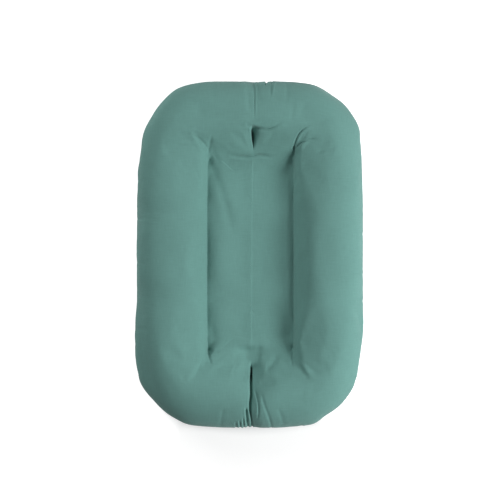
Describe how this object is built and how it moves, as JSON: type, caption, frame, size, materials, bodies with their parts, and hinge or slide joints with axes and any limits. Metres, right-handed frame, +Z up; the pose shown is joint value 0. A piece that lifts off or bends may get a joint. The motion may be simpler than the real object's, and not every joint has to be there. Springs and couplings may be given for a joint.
{
  "type": "infant lounger",
  "caption": "Padded oblong infant lounger: a plump rim round a thin sling, in a fitted cloth cover with a centre seam, a tuft at each end and a zip underneath.",
  "frame": {"origin": "middle of the footprint, on the floor that the rim rests on", "axes": "+Y towards the head end, +X to the right seen from above with the head end up, +Z up"},
  "size_m": [0.47, 0.7108, 0.114],
  "materials": {
    "cover": "matte plain-woven cotton",
    "liner": "natural cotton",
    "filling": "polyester fibre",
    "zip_tape": "woven tape",
    "zip_teeth": "moulded",
    "zip_metal": "satin"
  },
  "bodies": {
    "pad": {"cover_top_left": "cover", "cover_top_right": "cover", "cover_base_left": "cover", "cover_base_right": "cover", "liner_top_left": "liner", "liner_top_right": "liner", "liner_base_left": "liner", "liner_base_right": "liner", "rim_filling": "filling", "sling_wadding": "filling", "tuft_tie_head": "cover", "tuft_tie_foot": "cover", "tuft_washer_head": "liner", "tuft_washer_foot": "liner", "zip_tape_left": "zip_tape", "zip_tape_right": "zip_tape", "zip_teeth_left": "zip_teeth", "zip_teeth_right": "zip_teeth", "zip_top_stop_left": "zip_metal", "zip_top_stop_right": "zip_metal", "zip_bottom_stop": "zip_metal"},
    "slider": {"zip_slider": "zip_metal"},
    "pull": {"zip_pull": "zip_metal"}
  },
  "joints": [
    {"name": "zip_slide", "type": "slide", "parent": "pad", "child": "slider", "axis": [0, -1, 0], "range_m": [0, 0.2595], "deforming": ["zip_teeth_left", "zip_teeth_right"]},
    {"name": "pull_hinge", "type": "hinge", "parent": "slider", "child": "pull", "pos_m": [0, 0.1299, 0.006], "axis": [1, 0, 0], "range_deg": [0, 170]}
  ]
}
